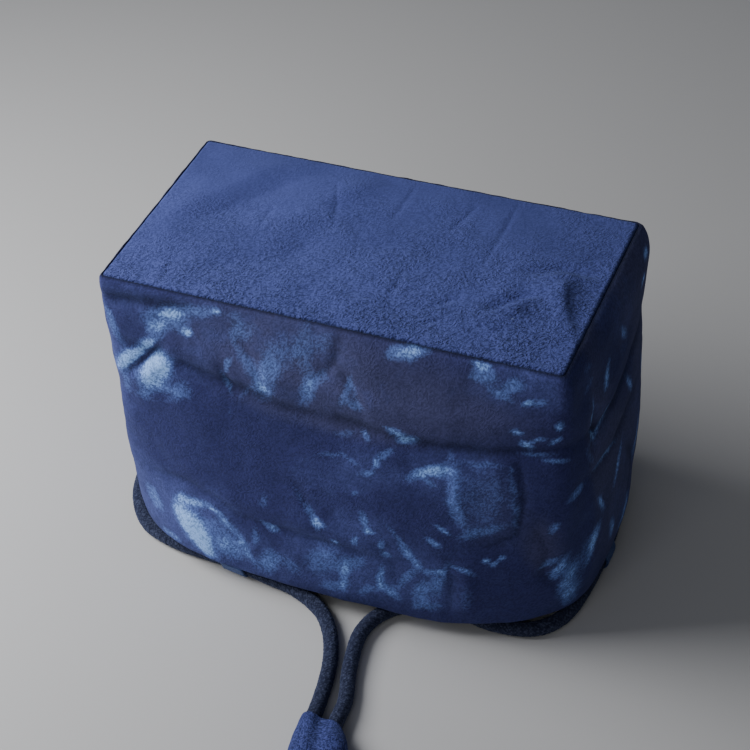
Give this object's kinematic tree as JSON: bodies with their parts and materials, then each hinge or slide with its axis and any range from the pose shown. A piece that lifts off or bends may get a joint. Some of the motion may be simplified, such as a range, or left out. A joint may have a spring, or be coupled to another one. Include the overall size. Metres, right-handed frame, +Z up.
{
  "type": "kinchaku drawstring pouch",
  "caption": "Box-shaped drawstring pouch in indigo cotton, standing on its open mouth with the base panel up and the cord's ends laid out in front.",
  "frame": {"origin": "middle of the pouch without its cord, on the surface that it stands on", "axes": "+X along the long side, towards the short side that the view shows; -Y the front, where the cord comes out; +Z up, towards the base panel"},
  "size_m": [0.2076, 0.2111, 0.134],
  "materials": {
    "base_cloth": "matt indigo crepe cotton with fine wrinkles",
    "dyed_cloth": "matt dark indigo cotton with uneven pale tie-dyed fields",
    "lining_cloth": "matt plain woven cotton",
    "loop_cloth": "matt plain indigo cotton strap",
    "cord_cotton": "round braided cotton cord, near black navy",
    "cover_cloth": "matt indigo crepe cotton"
  },
  "bodies": {
    "root": {"base_panel": "base_cloth", "side_wall": "dyed_cloth", "lining_base": "lining_cloth", "lining_wall": "lining_cloth", "cord_loop_front_left": "loop_cloth", "cord_loop_front_right": "loop_cloth", "cord_loop_left": "loop_cloth", "cord_loop_right": "loop_cloth", "cord_loop_back_left": "loop_cloth", "cord_loop_back_right": "loop_cloth", "drawcord": "cord_cotton", "cord_end_cover": "cover_cloth"}
  },
  "joints": []
}
